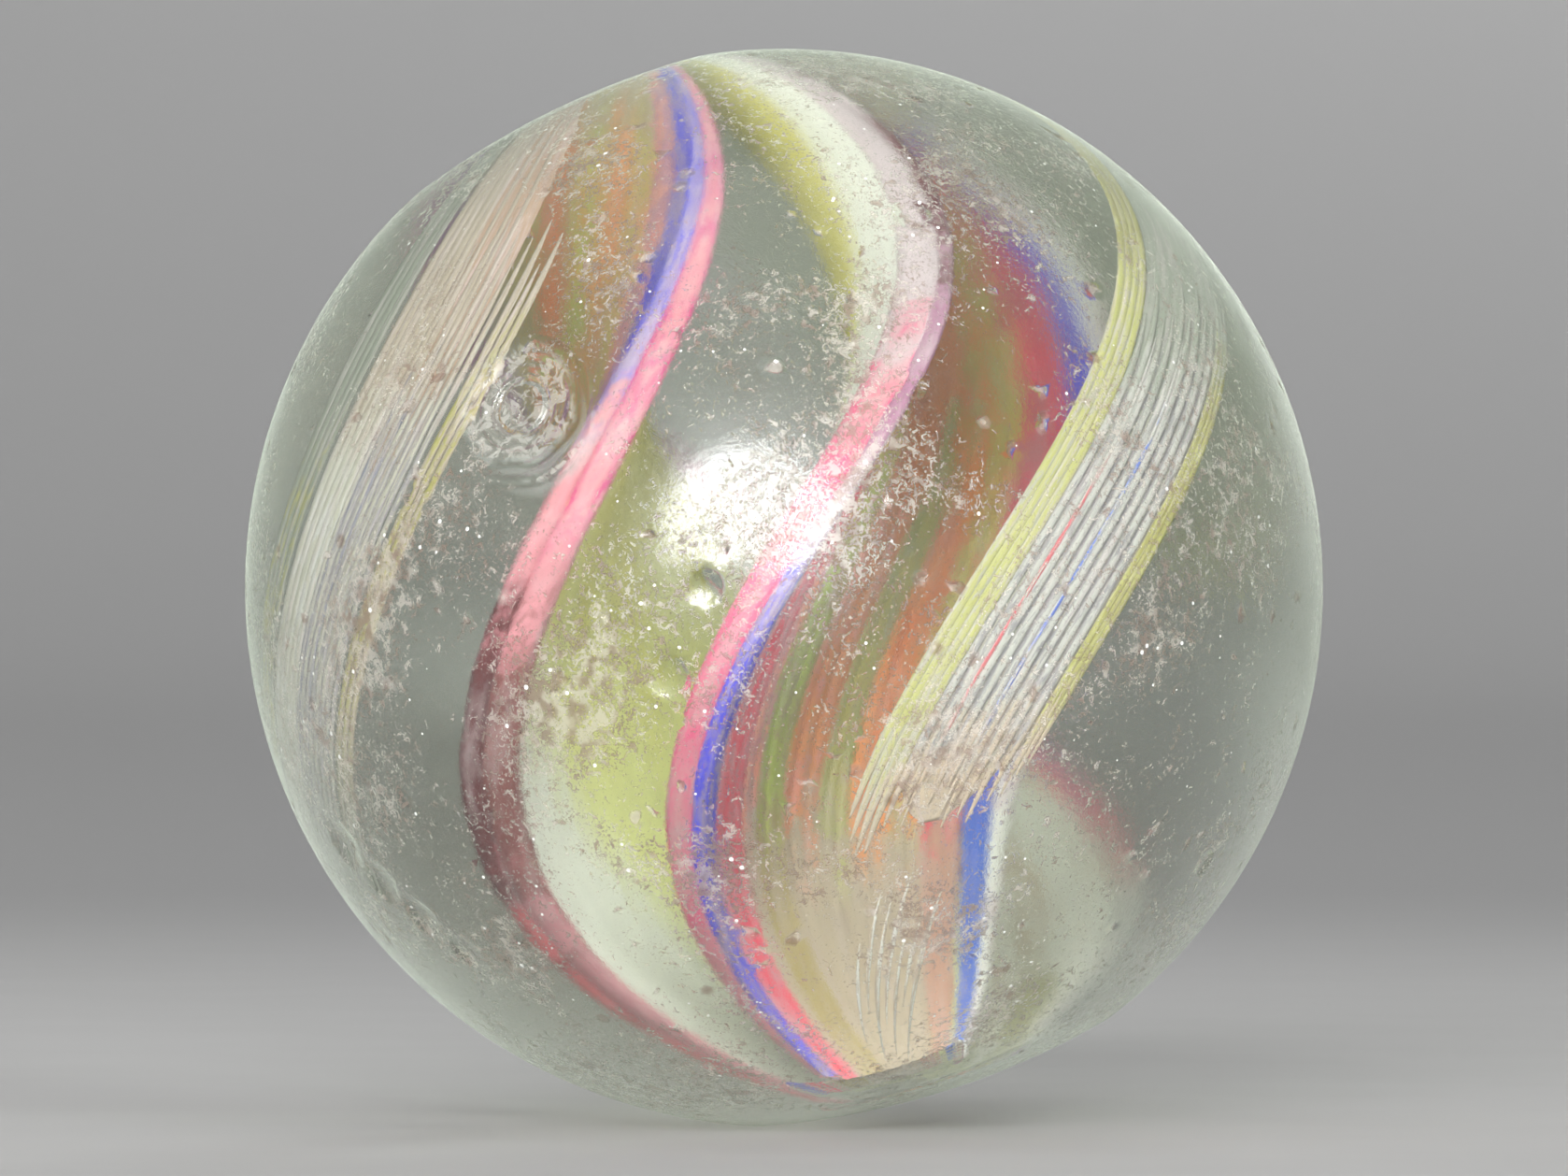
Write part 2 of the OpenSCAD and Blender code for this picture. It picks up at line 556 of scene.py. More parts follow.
def worn_glass():
    """Clear grey-green glass with a worn skin: a faint veil, beige crumbs of wear, painted glints of lamp
    light, pits, and the bruise's frosting and dark cracks, which the mesh carries in its skin attribute."""
    g = Graph("worn_clear_glass")
    spot = g.add("ShaderNodeTexCoord").outputs["Object"]
    place = g.scaled(spot, (1 / MM, 1 / MM, 1 / MM))
    skin = g.add("ShaderNodeSeparateXYZ")
    g.put(skin.inputs[0], g.add("ShaderNodeAttribute", attribute_name="skin").outputs["Vector"])
    pit, frost, crack = skin.outputs

    # Crumbs and finer dust, both thicker in the same clusters, and painted glints: white specks in place of
    # lamp light caught by tiny facets
    clusters = g.noise(place, scale=0.4, detail=4.0)
    crumbs = g.noise(place, scale=6.5, detail=4.0, roughness=0.75, distortion=0.9)
    crumb = g.step(g.math("MULTIPLY_ADD", g.math("SUBTRACT", clusters, 0.5), 0.55, crumbs), 0.56, 0.63)
    dust = g.noise(place, scale=16.0, detail=2.0, roughness=0.7)
    dust = g.step(g.math("MULTIPLY_ADD", g.math("SUBTRACT", clusters, 0.5), 0.6, dust), 0.58, 0.68)
    painted_glint_cells = g.add("ShaderNodeTexVoronoi")
    g.put(painted_glint_cells.inputs["Vector"], place)
    painted_glint_cells.inputs["Scale"].default_value = 2.4
    painted_glint_size = g.math("MULTIPLY_ADD", clusters, 0.20, -0.035)
    painted_glint_mask = g.math("LESS_THAN", painted_glint_cells.outputs["Distance"], painted_glint_size)
    wear = g.math("MAXIMUM", g.math("MULTIPLY", crumb, 0.40), g.math("MULTIPLY", dust, 0.26))
    wear = g.math("MAXIMUM", wear, g.math("MULTIPLY", pit, 0.40))
    flakes = g.noise(place, scale=3.5, detail=4.0, roughness=0.7, distortion=1.5)
    icy = g.math("MULTIPLY", frost, g.math("MULTIPLY_ADD", g.step(flakes, 0.44, 0.56), 0.65, 0.12))

    # Colour of the skin
    tone = g.noise(place, scale=3.0, detail=3.0)
    beige = g.mix(g.step(tone, 0.42, 0.60), PALE_WEAR, BROWN_WEAR)
    base = g.mix(g.step(wear, 0.0, 0.2), CLEAR_GLASS, beige)
    base = g.mix(g.step(frost, 0.2, 0.6), base, FROST)
    # Painted highlights: white specks that stand in for lamp light off tiny facets
    base = g.mix(painted_glint_mask, base, PAINTED_GLINT_COLOUR)
    base = g.mix(crack, base, DARK_CRACK)

    # How much of it is clear, and how rough it is. The coat is rougher than the clear glass under it.
    veil = g.math("ADD", g.math("MAXIMUM", wear, icy), 0.025)
    # The painted glints are nearly opaque
    veil = g.math("MAXIMUM", veil, g.math("MULTIPLY", painted_glint_mask, 0.95))
    veil = g.math("MAXIMUM", veil, g.math("MULTIPLY", crack, 0.8))
    clear = g.math("SUBTRACT", 1.0, veil, clamp=True)
    rough = g.math("MULTIPLY_ADD", g.math("MAXIMUM", crumb, dust), 0.20, 0.09)
    grain = g.noise(place, scale=7.0, detail=4.0, roughness=0.75)
    height = g.math("MULTIPLY_ADD", crumb, -0.7, grain)
    slight = g.bump(height, 0.006 * MM)
    strong = g.bump(height, 0.03 * MM)
    shader = g.principled(Base_Color=base, Transmission_Weight=clear, Roughness=rough, IOR=1.5,
                          Coat_Weight=0.9, Coat_Roughness=0.26, Coat_Normal=strong,
                          Sheen_Weight=0.6, Sheen_Roughness=0.35, Sheen_Tint=SHEEN_TINT,
                          Normal=slight)

    # Shadow rays pass straight through, so that the lamps light the coloured glass inside
    passing = g.add("ShaderNodeBsdfTransparent")
    passing.inputs[0].default_value = SHADOW_TINT
    lamp = g.add("ShaderNodeLightPath").outputs["Is Shadow Ray"]
    both = g.add("ShaderNodeMixShader")
    g.put(both.inputs[0], lamp)
    g.put(both.inputs[1], shader.outputs[0])
    g.put(both.inputs[2], passing.outputs[0])
    body = g.add("ShaderNodeVolumeAbsorption")
    body.inputs["Color"].default_value = BODY_TINT
    body.inputs["Density"].default_value = BODY_DENSITY
    return g.finish(both.outputs[0], body.outputs[0])


def cap_radius(width, rise):
    """Radius of the sphere whose cap has this width and rise."""
    return ((width / 2) ** 2 + rise ** 2) / (2 * rise)


def scar_bites():
    """The scar's bites, from its upper end down: longitude, latitude, and share of the full size left."""
    for i in range(SCAR_BITES):
        along = i / (SCAR_BITES - 1)
        lon = SCAR_START[0] + along * (SCAR_END[0] - SCAR_START[0])
        lat = SCAR_START[1] + along * (SCAR_END[1] - SCAR_START[1])
        yield lon, lat, 1 - SCAR_NARROWING * along


def surface_mm(cosine):
    """Distance over the ball's surface, in millimetres, between directions with this dot product."""
    return np.arccos(np.clip(cosine, -1, 1)) * BALL_R / MM


def worn_radius(directions):
    """Distance from the middle to the worn surface along each unit direction, in metres."""
    radius_mm = BALL_R / MM
    radius = np.full(len(directions), radius_mm)

    def rim_height(width):
        return math.sqrt(radius_mm ** 2 - (width / 2) ** 2)

    def leaned(lean, pitch, up):
        lean, pitch = math.radians(lean), math.radians(pitch)
        return up * np.array([-math.sin(lean), math.cos(lean) * math.sin(pitch),
                              math.cos(lean) * math.cos(pitch)])

    for lean, up in ((UPPER_LEAN, 1), (LOWER_LEAN, -1)):
        pole = radius_mm - END_LOSS
        end_r = cap_radius(END_W, pole - rim_height(END_W))
        axis = leaned(lean, END_PITCH, up)
        middle = pole - end_r
        cosine = directions @ axis
        reach = middle * cosine + np.sqrt(np.maximum(end_r ** 2 - middle ** 2 * (1 - cosine ** 2), 0))
        radius = np.minimum(radius, reach)

    def bite(lon, lat, width, dish):
        cut_r = cap_radius(width, dish)
        middle = rim_height(width) - dish + cut_r
        cosine = directions @ direction(lon, lat)
        inside = cut_r ** 2 - middle ** 2 * (1 - cosine ** 2)
        hit = (inside > 0) & (cosine > 0)
        reach = middle * cosine - np.sqrt(np.maximum(inside, 0))
        return np.where(hit, reach, radius_mm)

    radius = np.minimum(radius, bite(*BRUISE_AT, BRUISE_W, BRUISE_DISH))
    for lon, lat, left in scar_bites():
        radius = np.minimum(radius, bite(lon, lat, SCAR_W * left, SCAR_DISH * left))
    for lon, lat, width in CHIPS:
        radius = np.minimum(radius, bite(lon, lat, width, CHIP_DISH_SHARE * width))
    return radius * MM


def make_pits(count, rng):
    """Seeded small pits all over the ball: direction, two tangents, half sizes and depth in millimetres."""
    pits = []
    for _ in range(count):
        axis = rng.normal(size=3)
        axis /= np.linalg.norm(axis)
        first = np.cross(axis, rng.normal(size=3))
        first /= np.linalg.norm(first)
        long_half = rng.uniform(*PIT_HALF_LENGTH)
        short_half = long_half * rng.uniform(*PIT_NARROWNESS)
        pits.append((axis, first, np.cross(axis, first), long_half, short_half, rng.uniform(*PIT_DEPTH)))
    return pits


def dig_pits(directions, pits):
    """Depth in millimetres, and wear from 0 to 1, that the pits leave along each direction. A pit is an
    oval bent into a crescent."""
    depth = np.zeros(len(directions))
    wear = np.zeros(len(directions))
    radius_mm = BALL_R / MM
    for axis, first, second, long_half, short_half, deep in pits:
        near = np.nonzero(directions @ axis > math.cos(PIT_REACH * long_half / radius_mm))[0]
        a = directions[near] @ first * radius_mm / long_half
        b = directions[near] @ second * radius_mm / short_half
        bent = b + PIT_BEND * a ** 2 - PIT_SHIFT
        inside = np.clip(1 - a ** 2 - bent ** 2, 0, None)
        depth[near] = np.maximum(depth[near], deep * np.sqrt(inside))
        wear[near] = np.maximum(wear[near], np.minimum(1, 2.5 * inside))
    return depth, wear


def bruise_ripples(directions):
    """Height in millimetres of the ripples round the ring crack, and of the crack's own groove."""
    away = surface_mm(directions @ direction(*BRUISE_AT))
    ring = RING_D / 2
    groove = -RING_GROOVE_R * np.sqrt(np.clip(1 - ((away - ring) / RING_GROOVE_R) ** 2, 0, 1))
    share = np.clip((away - ring) / 0.1, 0, 1) * np.clip((RIPPLE_REACH - away) / 0.5, 0, 1)
    ripple = RIPPLE_HEIGHT * share * np.cos((away - ring) / RIPPLE_PITCH * 2 * math.pi)
    return groove + ripple


def bruise_marks(directions):
    """Frosting and dark cracks of the bruise, both from 0 to 1: a pale disc, a crescent at its upper left and
    a thin arc at its lower right, then the ring crack and two dark arcs at its lower right."""
    centre = direction(*BRUISE_AT)
    away = surface_mm(directions @ centre)
    up = direction(BRUISE_AT[0], BRUISE_AT[1] + 90)
    side = direction(BRUISE_AT[0] + 90, 0)
    angle = np.degrees(np.arctan2(directions @ up, directions @ side))
    away = away + 0.05 * np.sin(np.radians(3 * angle)) + 0.03 * np.sin(np.radians(7 * angle))

    def facing(middle, spread):
        turned = (angle - middle + 180) % 360 - 180
        return np.exp(-(turned / spread) ** 2)

    def ring(radius, half):
        return np.exp(-((away - radius) / half) ** 2)

    frost = FROST_DISC * np.clip((FROST_DISC_R - away) / 0.2, 0, 1)
    for radius, half, strength, middle, spread in FROST_ARCS:
        frost = np.maximum(frost, strength * ring(radius, half) * facing(middle, spread))
    radius, half, strength, middle, spread = RING_CRACK
    crack = strength * ring(radius, half) * np.maximum(RING_CRACK_LEAST, facing(middle, spread))
    for radius, half, strength, middle, spread in CRACK_ARCS:
        crack = np.maximum(crack, strength * ring(radius, half) * facing(middle, spread))
    return frost, crack


def scar_line(directions):
    """Dark hairline that runs through the scar, from 0 to 1, with thicker and thinner stretches."""
    steps = np.linspace(0, 1, 60)
    stops = np.linspace(0, 1, len(SCAR_LINE))
    lons = np.interp(steps, stops, [lon for lon, lat in SCAR_LINE])
    lats = np.interp(steps, stops, [lat for lon, lat in SCAR_LINE])
    line = np.array([direction(lon, lat) for lon, lat in zip(lons, lats)])
    dark = np.zeros(len(directions))
    middle = direction(*SCAR_LINE[len(SCAR_LINE) // 2])
    near = np.nonzero(directions @ middle > math.cos(SCAR_LINE_SPAN / 2 * MM / BALL_R))[0]
    closeness = directions[near] @ line.T
    nearest = closeness.argmax(axis=1)
    away = surface_mm(closeness.max(axis=1))
    half = HAIRLINE_HALF + HAIRLINE_SWELL * np.abs(np.sin(steps[nearest] * HAIRLINE_SWELLS * math.pi))
    dark[near] = np.exp(-(away / half) ** 2)
    return dark


def refine(shape, spots, rounds):
    """Splits the ball's triangles near each spot, a (direction, reach in millimetres) pair, once a round."""
    for _ in range(rounds):
        shape.verts.ensure_lookup_table()
        directions = np.array([v.co[:] for v in shape.verts])
        directions /= np.linalg.norm(directions, axis=1)[:, None]
        close = np.zeros(len(directions), bool)
        for axis, reach in spots:
            close |= directions @ axis > math.cos(reach * MM / BALL_R)
        edges = [e for e in shape.edges if close[e.verts[0].index] and close[e.verts[1].index]]
        bmesh.ops.subdivide_edges(shape, edges=edges, cuts=1, use_grid_fill=True)
        bmesh.ops.triangulate(shape, faces=shape.faces)
        shape.verts.index_update()


def make_ball():
    """The glass ball with its rubbed ends, bruise, scar, chips and pits cut into the mesh itself."""
    pits = make_pits(PIT_COUNT, np.random.default_rng(PIT_SEED))
    spots = [(direction(*BRUISE_AT), BRUISE_REACH)]
    spots += [(direction(lon, lat), SCAR_W / 2 + SCAR_MARGIN) for lon, lat, _ in scar_bites()]
    spots += [(direction(lon, lat), HAIRLINE_REACH) for lon, lat in SCAR_LINE]
    spots += [(direction(lon, lat), width / 2 + CHIP_MARGIN) for lon, lat, width in CHIPS]
    spots += [(axis, long_half + PIT_MARGIN) for axis, _, _, long_half, _, _ in pits]
    shape = bmesh.new()
    bmesh.ops.create_icosphere(shape, subdivisions=BALL_SPLITS, radius=1.0)
    refine(shape, spots, MARK_SPLITS)
    refine(shape, [(direction(*BRUISE_AT), RING_D / 2 + CHIP_MARGIN)], RING_SPLITS)
    directions = np.array([v.co[:] for v in shape.verts])
    directions /= np.linalg.norm(directions, axis=1)[:, None]
    depth, pitted = dig_pits(directions, pits)
    frost, crack = bruise_marks(directions)
    crack = np.maximum(crack, scar_line(directions))
    radius = worn_radius(directions) + (bruise_ripples(directions) - depth) * MM
    points = directions * np.minimum(radius, BALL_R)[:, None]
    for vertex, point in zip(shape.verts, points):
        vertex.co = point
    mesh = bpy.data.meshes.new("glass_ball")
    shape.to_mesh(mesh)
    shape.free()
    skin = np.stack([pitted, frost, crack], axis=-1).astype(np.float32)
    mesh.attributes.new("skin", "FLOAT_VECTOR", "POINT").data.foreach_set("vector", skin.ravel())
    mesh.shade_smooth()
    ball = new_object("glass_ball", mesh, worn_glass())
    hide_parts("marble")


def three_stops(low, middle, high):
    """Smooth curve over the height through its values at -0.6, -0.1 and 0.4, level beyond -0.75 and 0.45.
    It stays inside the ribbon's edge strands."""
    def curve(height):
        a, b, c = -0.6, -0.1, 0.4
        t = np.clip(height, -0.75, 0.45)
        value = low * (t - b) * (t - c) / ((a - b) * (a - c))
        value = value + middle * (t - a) * (t - c) / ((b - a) * (b - c))
        value = value + high * (t - a) * (t - b) / ((c - a) * (c - b))
        return np.clip(value, -0.93, 0.93)
    return curve


def strand_tubes(ribbon, path, half, seed):
    """A strand: thin tubes side by side on the ribbon's coloured side, which wander apart and together."""
    tubes = []
    for i in range(TUBES_EACH):
        place = (2 * i + 1) / TUBES_EACH - 1

        def centre(height):
            return path(height) + half * place + wander(height, seed + i, STRAND_WANDER * half)

        def width(height):
            ragged = wander(height, seed + i + 70, STRAND_RAG, RAGGED_WAVES)
            swollen = STRAND_OVERLAP + wander(height, seed + i + 50, STRAND_SWELL)
            return half / TUBES_EACH * (swollen + ragged)

        tubes.append(ribbon_tube(ribbon, centre, width, ribbon["side"] * CORE_HALF, STRAND_RISE,
                                 place=place, share=1 / TUBES_EACH))
    return tubes


def make_ribbon(name, ribbon, strands, edges, core_material):
    """A ribbon: a white and yellow core, coloured strands on its outer side, and round strands along both
    edges. Each edge strand is (part, slot, place, half width, depth, half depth, colours)."""
    def everywhere(value):
        return lambda height: np.full_like(height, value)

    core = ribbon_tube(ribbon, everywhere(0.0), everywhere(CORE_SHARE), 0.0, CORE_HALF, squareness=0.3,
                       around=64)
    add_tubes(name + "_core", [core], core_material)
    for number, (part, slot, colours, stops, half) in enumerate(strands):
        seed = 100 * (ribbon["side"] + 2) + 7 * number
        tubes = strand_tubes(ribbon, three_stops(*stops), half, seed)
        add_tubes(name + "_" + part, tubes, streaked_glass(name + "_" + part, *colours))
    for number, (part, slot, place, half, depth, half_depth, colours) in enumerate(edges):
        def edge(height):
            ragged = wander(height, number, EDGE_RAG, RAGGED_WAVES)
            return place + wander(height, number, EDGE_WANDER) + ragged

        tube = ribbon_tube(ribbon, edge, everywhere(half), ribbon["side"] * depth, half_depth)
        add_tubes(name + "_" + part, [tube], streaked_glass(name + "_" + part, *colours))


def make_ribbons():
    """Left and right ribbons. Each strand is (part, slot, colours, places at low, middle and high heights,
    half width), and each edge strand is as make_ribbon says."""
    low = (BEIGE, -0.34, -0.46)
    low_green = (TAN, -0.34, -0.46)
    low_rose = (ROSE_BEIGE, -0.34, -0.46)
    high = (TAN, 0.58, 0.78)
    # Painted shade: the left blue strand turns dull maroon lower down. It marks no crack.
    crack = (DULL_MAROON, 0.36, 0.22)
    left = [
        ("blue", "blue_glass", (BLUE, LAVENDER, 0.45, [crack]), (0.82, 0.82, 0.82), 0.09),
        ("salmon", "pink_glass", (SALMON, MAUVE, 0.5), (0.61, 0.61, 0.61), 0.11),
        ("olive", "green_glass", (OLIVE, SALMON, 0.3, [high]), (0.40, 0.40, 0.40), 0.11),
        ("orange", "orange_glass", (ORANGE, OLIVE, 0.3, [high]), (0.16, 0.16, 0.16), 0.14),
        ("green", "green_glass", (GREEN, ORANGE, 0.4, [high]), (-0.08, -0.08, -0.08), 0.12),
        ("rust", "orange_glass", (RUST, TAN, 0.4, [high]), (-0.30, -0.30, -0.30), 0.12),
        ("tan", "green_glass", (TAN, OLIVE, 0.4), (-0.52, -0.52, -0.52), 0.12),
        ("cream", "white_glass", (BEIGE, CREAM, 0.5), (-0.72, -0.72, -0.72), 0.11),
        ("blue_far", "blue_glass", (VIOLET, MAUVE, 0.6), (-0.86, -0.86, -0.86), 0.08),
    ]
    dusty = (DUSTY_RED, -0.05, 0.1)
    salmon = (SALMON, 0.05, 0.2)
    sky = (SKY, -0.3, -0.4)
    right = [
        ("blue", "blue_glass", (BLUE, LAVENDER, 0.4), (0.86, 0.87, 0.88), 0.05),
        ("red", "pink_glass", (RED, DUSTY_PINK, 0.4, [dusty]), (0.68, 0.70, 0.73), 0.13),
        ("mauve", "pink_glass", (DUSTY_PINK, SALMON, 0.5, [low]), (0.52, 0.53, 0.55), 0.06),
        ("green", "green_glass", (GREEN, TAN, 0.3, [low_green, salmon]), (0.35, 0.37, 0.36), 0.14),
        ("orange", "orange_glass", (ORANGE, SALMON, 0.35, [low]), (0.10, 0.08, -0.55), 0.14),
        ("olive", "green_glass", (OLIVE, BAND_YELLOW, 0.5, [low]), (-0.08, -0.16, -0.82), 0.10),
        ("rust", "orange_glass", (RUST, ORANGE, 0.5, [low]), (-0.24, -0.34, -0.50), 0.10),
        ("brown", "green_glass", (OLIVE, RUST, 0.3, [low]), (-0.42, -0.52, -0.66), 0.10),
        ("red_far", "pink_glass", (DUSTY_RED, RED, 0.4, [low_rose]), (-0.62, -0.68, -0.78), 0.10),
        ("blue_far", "blue_glass", (BLUE, VIOLET, 0.4, [sky]), (-0.84, -0.85, -0.90), 0.055),
    ]
    # Dusty pink fading along the left ribbon's near pink edge, with a stretch of dull maroon just below the
    # middle that is painted shade
    fading_and_painted_shade = [(DUSTY_PINK, 0.20, 0.05), (DULL_MAROON, 0.02, -0.12), (DUSTY_PINK, -0.28, -0.50)]
    pale = (GREY_WHITE, -0.20, -0.35)
    left_edges = [
        ("near_pink", "pink_glass", 0.955, 0.035, -0.020, 0.040, (PINK, DUSTY_PINK, 0.3, fading_and_painted_shade)),
        # The left near blue edge also turns maroon just below the middle, as painted shade
        ("near_blue", "blue_glass", 0.945, 0.045, 0.038, 0.031,
         (BLUE, LAVENDER, 0.3, [(DUSTY_PINK, 0.38, 0.26), (MAROON, 0.10, -0.05), (DUSTY_RED, -0.30, -0.50)])),
        ("far_mauve", "pink_glass", -0.945, 0.040, -0.022, 0.036, (MAUVE, DUSTY_RED, 0.5, [pale])),
        ("far_red", "pink_glass", -0.955, 0.040, 0.034, 0.030,
         (DUSTY_PINK, VIOLET, 0.4, [(MAROON, 0.0, -0.1), pale])),
    ]
    right_edges = [
        ("near_pink", "pink_glass", 0.955, 0.040, -0.012, 0.048,
         (HOT_PINK, DUSTY_PINK, 0.35, [(DUSTY_PINK, -0.5, -0.65), (PALE_MAUVE, 0.20, 0.36)])),
        ("near_blue", "blue_glass", 0.940, 0.050, 0.046, 0.028,
         (LAVENDER, BLUE, 0.5, [(PALE_MAUVE, -0.15, 0.0), (MAUVE, 0.05, 0.15), (MAROON, 0.3, 0.45),
                                (PALE_MAUVE, 0.60, 0.70)])),
        ("far_mauve", "pink_glass", -0.925, 0.070, -0.026, 0.038, (MAUVE, DUSTY_PINK, 0.5)),
        ("far_white", "white_glass", -0.945, 0.060, 0.032, 0.032, (WHITE, PALE_MAUVE, 0.4)),
    ]
    left_core = ribbon_core_glass("left_core", 0.98, 1.2, -0.45)
    make_ribbon("left_ribbon", LEFT_RIBBON, left, left_edges, left_core)
    right_core = ribbon_core_glass("right_core", 0.52, 0.0, -2)
    make_ribbon("right_ribbon", RIGHT_RIBBON, right, right_edges, right_core)


def band_tube(azimuth, half_angle, depth, half_depth, bend, low=-BAND_TOP, high=BAND_TOP, squareness=1.0,
              around=8):
    """Closed tube of a band, just under the surface, drawn out thin at both ends. azimuth, in degrees from
    the front, is where it crosses the middle. bend turns it more at the ends."""
    height = heights(BAND_LEVELS, low, high)
    turn = azimuth + BAND_TURN[0] * height + BAND_TURN[1] * height ** 2 + (BAND_TURN[2] + bend) * height ** 3
    thin = np.sqrt(np.clip(np.minimum(height - low, high - height) / BAND_TAPER, BAND_TIP, 1))[:, None]
    x, y = oval(around, squareness)
    angle = np.radians(turn[:, None] + half_angle * thin * x)
    flat = np.sqrt(1 - height ** 2)[:, None]
    out = depth + half_depth * flat * thin * y
    rings = in_ball(BAND_AXES, out * flat * np.sin(angle), out * flat * np.cos(angle), out * height[:, None])
    level = height[:, None] + np.zeros_like(angle)
    marks = np.stack([(azimuth + half_angle * x) / MARK_DEGREES + np.zeros_like(angle), level,
                      x + np.zeros_like(angle)], axis=-1)
    return rings, marks


def make_band(name, bend, bed, stripes):
    """One band, turned by bend at its ends: a thin bed (first azimuth, last azimuth, lower end, colours) and
    stripes of threads on it. Each stripe is (part, slot, first azimuth, last azimuth, number of threads,
    half angle of one, (lower end, upper end), colours)."""
    first, last, low, colours = bed
    flat = band_tube((first + last) / 2, (last - first) / 2, BED_DEPTH, BED_RISE, bend, low, squareness=0.5,
                     around=48)
    add_tubes(name + "_bed", [flat], streaked_glass(name + "_bed", *colours))
    rng = np.random.default_rng(round(first * 2 + 400))
    for part, slot, start, end, count, half_angle, ends, colours in stripes:
        tubes = []
        for azimuth in np.linspace(start, end, count):
            uneven = rng.uniform(-THREAD_END_SPREAD, THREAD_END_SPREAD, 2)
            low, high = np.clip(ends + uneven, -BAND_TOP, BAND_TOP)
            tubes.append(band_tube(azimuth, half_angle, THREAD_DEPTH, THREAD_RISE, bend, low, high))
        add_tubes(name + "_" + part, tubes, streaked_glass(name + "_" + part, *colours))


def make_bands():
    """Three bands. The right one and its copy at the back have yellow threads at their sides, white and a
    few coloured ones between them, and a tail of thin white ones below. The left one is hazier."""
    low = (BEIGE, -0.40, -0.56)
    high = (PALE_HAZE, 0.02, 0.22)
    white = (GREY_WHITE, GREY_LAVENDER, 0.3, [low, high])
    bed = (GREY_LAVENDER, CREAM, 0.3, [low, high])
    yellow = (BAND_YELLOW, CREAM, 0.3, [(BEIGE, -0.45, -0.60), (DULL_YELLOW, 0.30, 0.50)])
    dull = (DULL_YELLOW, BAND_YELLOW, 0.4, [high, low])
    pink = (DUSTY_RED, GREY_WHITE, 0.4, [(GREY_WHITE, -0.15, 0.0), low])
    blue = (SKY, GREY_WHITE, 0.5, [(GREY_WHITE, -0.1, 0.05), low])
    tail = (WHITE, BEIGE, 0.4)
    for name, first in (("right_band", 32.5), ("back_band", 135.0)):
        make_band(name, 0, (first + 4, first + 22, -0.61, bed), (
            ("yellow", "yellow_glass", first + 0.6, first + 4.6, 4, 0.80, (-0.60, 1), yellow),
            ("white", "white_glass", first + 6.0, first + 20.0, 9, 0.72, (-0.58, 0.28), white),
            ("pink", "pink_glass", first + 8.6, first + 8.6, 1, 0.45, (-0.56, 0.2), pink),
            ("blue", "blue_glass", first + 13.8, first + 13.8, 1, 0.45, (-0.56, 0.2), blue),
            ("dull", "yellow_glass", first + 21.6, first + 23.3, 3, 0.65, (-0.55, 0.3), dull),
            ("tail", "white_glass", first + 7.0, first + 19.0, 7, 0.55, (-0.93, -0.74), tail),
        ))
    hazy = (HAZE, -0.10, -0.35)
    sand = (SAND, 0.30, 0.50)
    warm = (WARM_SAND, 0.25, 0.45)
    ends = (-0.5, 1)
    bed = (GREY_LAVENDER, CREAM, 0.4, [hazy, warm])
    olive = (DULL_YELLOW, HAZE, 0.6, [hazy, (HAZE, 0.2, 0.4)])
    cream = (CREAM, GREY_WHITE, 0.4, [hazy, sand])
    white = (CREAM, GREY_LAVENDER, 0.5, [hazy, sand])
    slate = (SLATE, GREY_LAVENDER, 0.6, [hazy, sand])
    yellow = (DULL_YELLOW, SAND, 0.5, [hazy, sand])
    make_band("left_band", -12, (-74, -56, -0.7, bed), (
        ("olive", "green_glass", -81.0, -76.0, 4, 1.0, ends, olive),
        ("cream", "white_glass", -73.0, -66.5, 5, 1.0, ends, cream),
        ("white", "white_glass", -65.0, -54.5, 8, 0.60, (-0.5, 0.65), white),
        ("blue", "blue_glass", -64.0, -59.0, 3, 0.5, ends, slate),
        ("yellow", "yellow_glass", -52.5, -49.5, 3, 0.7, (-0.5, 0.62), yellow),
    ))


def make_stage():
    """Pale floor under the ball, which turns grey further out and curves up into a backdrop."""
    g = Graph("pale_floor")
    spot = g.add("ShaderNodeTexCoord").outputs["Object"]
    grain = g.noise(spot, scale=220.0, detail=4.0)
    pale = g.mix(grain, PALE_FLOOR, PALER_FLOOR)
    length = g.add("ShaderNodeVectorMath", operation="LENGTH")
    g.put(length.inputs[0], spot)
    paint = g.mix(g.step(length.outputs["Value"], BALL_R, PALE_R), pale, BACKDROP)
    shader = g.principled(Base_Color=paint, Roughness=0.8, Specular_IOR_Level=0.2)
    material = g.finish(shader.outputs[0])
    mesh = bpy.data.meshes.new("floor")
    points, faces = [], []
    rim = [(0.0, 0.0), (0.1, 0.0), (FLOOR_R, 0.0)]
    for i in range(1, SWEEP_STEPS + 1):
        angle = math.pi / 2 * i / SWEEP_STEPS
        rim.append((FLOOR_R + SWEEP_R * math.sin(angle), SWEEP_R * (1 - math.cos(angle))))
    for radius, rise in rim:
        for i in range(FLOOR_SIDES):
            turn = 2 * math.pi * i / FLOOR_SIDES
            points.append((radius * math.cos(turn), radius * math.sin(turn), cad_low.z + rise))
    for ring in range(len(rim) - 1):
        for i in range(FLOOR_SIDES):
            j = (i + 1) % FLOOR_SIDES
            low, high = ring * FLOOR_SIDES, (ring + 1) * FLOOR_SIDES
            faces.append((low + i, low + j, high + j, high + i))
    mesh.from_pydata(points, [], faces)
    mesh.shade_smooth()
    mesh.materials.append(material)
    floor = bpy.data.objects.new("floor", mesh)
    bpy.context.scene.collection.objects.link(floor)


def aim(thing):
    """Turns a lamp or the camera towards the middle of the ball."""
    sight = Vector((0, 0, 0)) - thing.location
    thing.rotation_euler = sight.to_track_quat("-Z", "Y").to_euler()


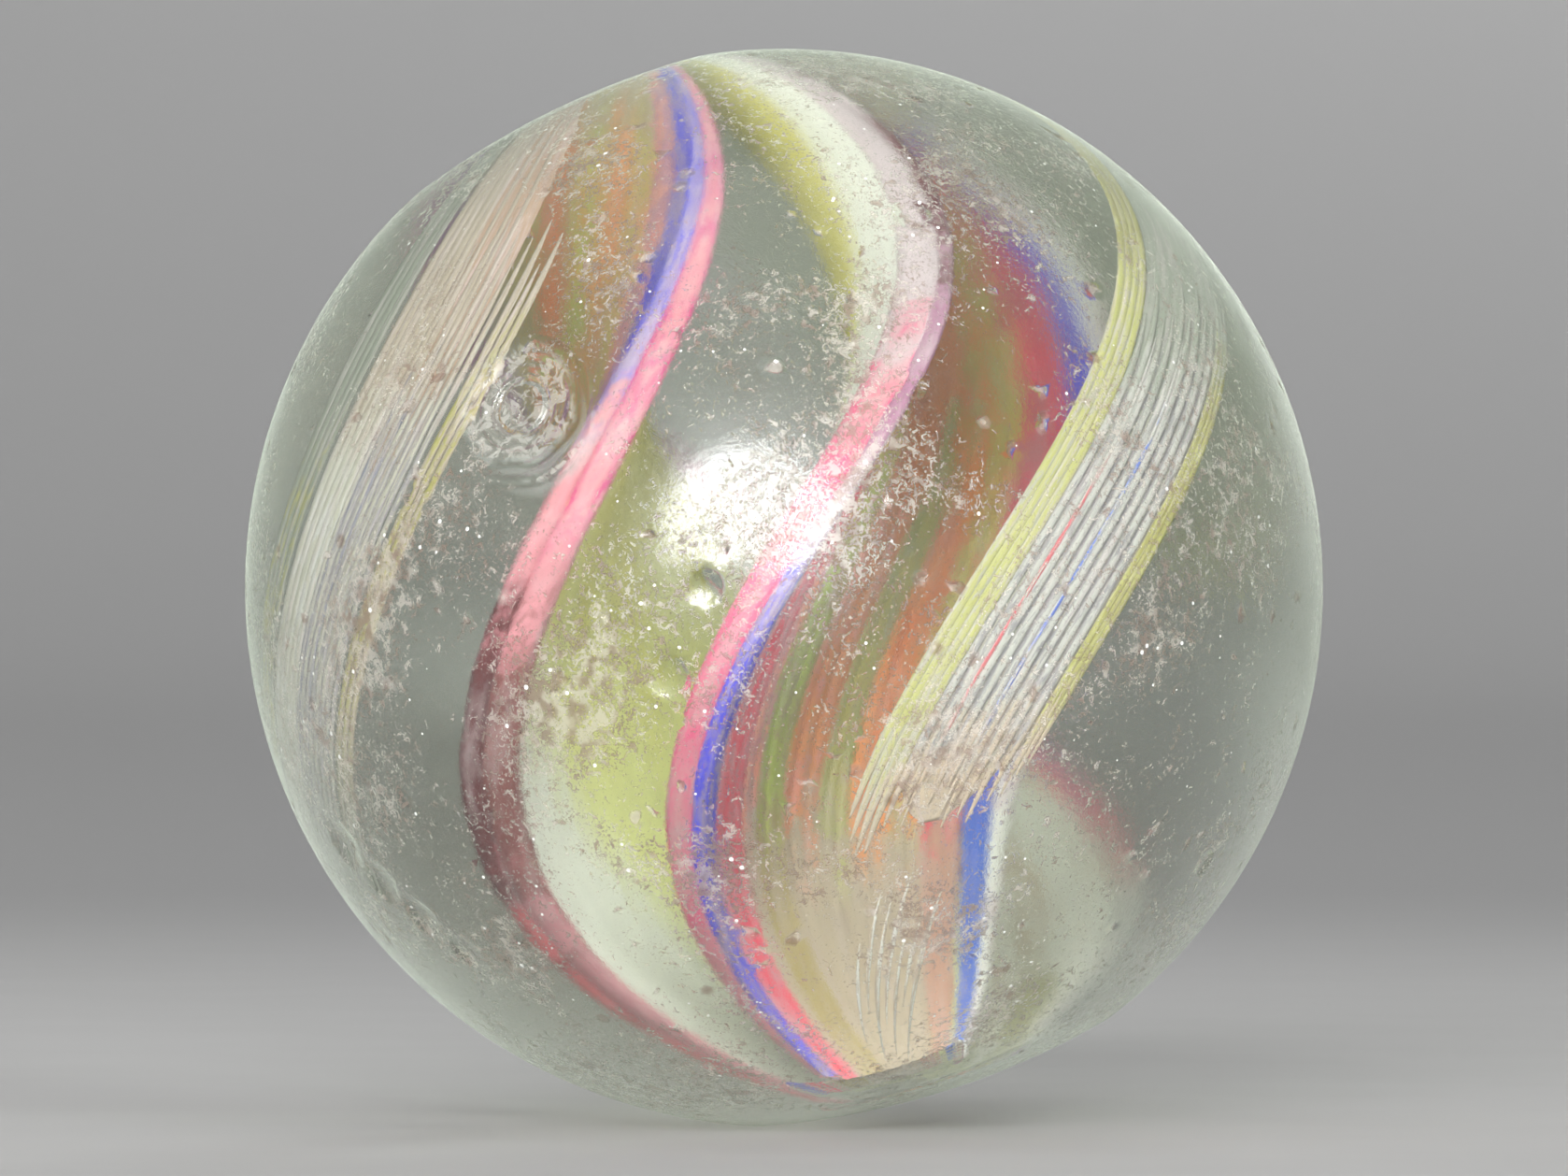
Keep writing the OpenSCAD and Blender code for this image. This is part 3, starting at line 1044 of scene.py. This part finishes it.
def make_lamp(name, azimuth, elevation, distance, size, power, mirrored=True):
    """Round soft lamp that faces the ball. None is seen directly or through the glass, and one that isn't
    mirrored leaves no highlight."""
    data = bpy.data.lights.new(name, "AREA")
    data.shape = "DISK"
    data.size = size
    data.energy = power
    lamp = bpy.data.objects.new(name, data)
    lamp.location = Vector(direction(azimuth, elevation)) * distance
    lamp.visible_glossy = mirrored
    lamp.visible_camera = False
    lamp.visible_transmission = False
    aim(lamp)
    bpy.context.scene.collection.objects.link(lamp)


def make_light():
    """Soft key a little to the left of the camera and above it, a weak top lamp, and three fills that leave
    no highlights and light the coloured glass from both sides and from behind."""
    make_lamp("key", azimuth=-8, elevation=12, distance=1.5, size=0.96, power=41)
    make_lamp("top", azimuth=0, elevation=80, distance=1.8, size=1.5, power=4)
    for name, azimuth, elevation, power in (("left_fill", -50, 8, 13), ("right_fill", 48, 8, 29),
                                            ("back_fill", 170, 25, 8)):
        make_lamp(name, azimuth, elevation, FILL_DISTANCE, FILL_SIZE, power, mirrored=False)
    world = bpy.data.worlds.new("studio")
    world.use_nodes = True
    background = world.node_tree.nodes["Background"]
    background.inputs["Color"].default_value = (WORLD_GREY, WORLD_GREY, WORLD_GREY, 1.0)
    background.inputs["Strength"].default_value = 1.0
    bpy.context.scene.world = world


def make_camera():
    """Long lens, level with the ball's middle, so far off that the ball fills its share of the frame."""
    data = bpy.data.cameras.new("camera")
    data.lens = LENS
    data.sensor_width = SENSOR_W
    camera = bpy.data.objects.new("camera", data)
    half_height = data.sensor_width / 2 * FRAME_H / FRAME_W / data.lens
    distance = BALL_R / math.sin(math.atan(BALL_SHARE * half_height))
    camera.location = (0, -distance, 0)
    data.clip_start = distance / 100
    data.clip_end = distance * 100
    aim(camera)
    bpy.context.scene.collection.objects.link(camera)
    bpy.context.scene.camera = camera


def set_scene():
    """Plain view transform, and enough bounces for coloured glass inside clear glass."""
    scene = bpy.context.scene
    scene.view_settings.view_transform = "Standard"
    scene.cycles.use_denoising = True
    scene.cycles.transmission_bounces = 6
    scene.cycles.transparent_max_bounces = 8
    scene.cycles.max_bounces = 6
    scene.cycles.diffuse_bounces = 2
    scene.cycles.glossy_bounces = 2
    scene.cycles.adaptive_threshold = 0.15
    scene.cycles.sample_clamp_indirect = 6


make_camera()
make_ball()
make_ribbons()
make_bands()
make_stage()
make_light()
set_scene()
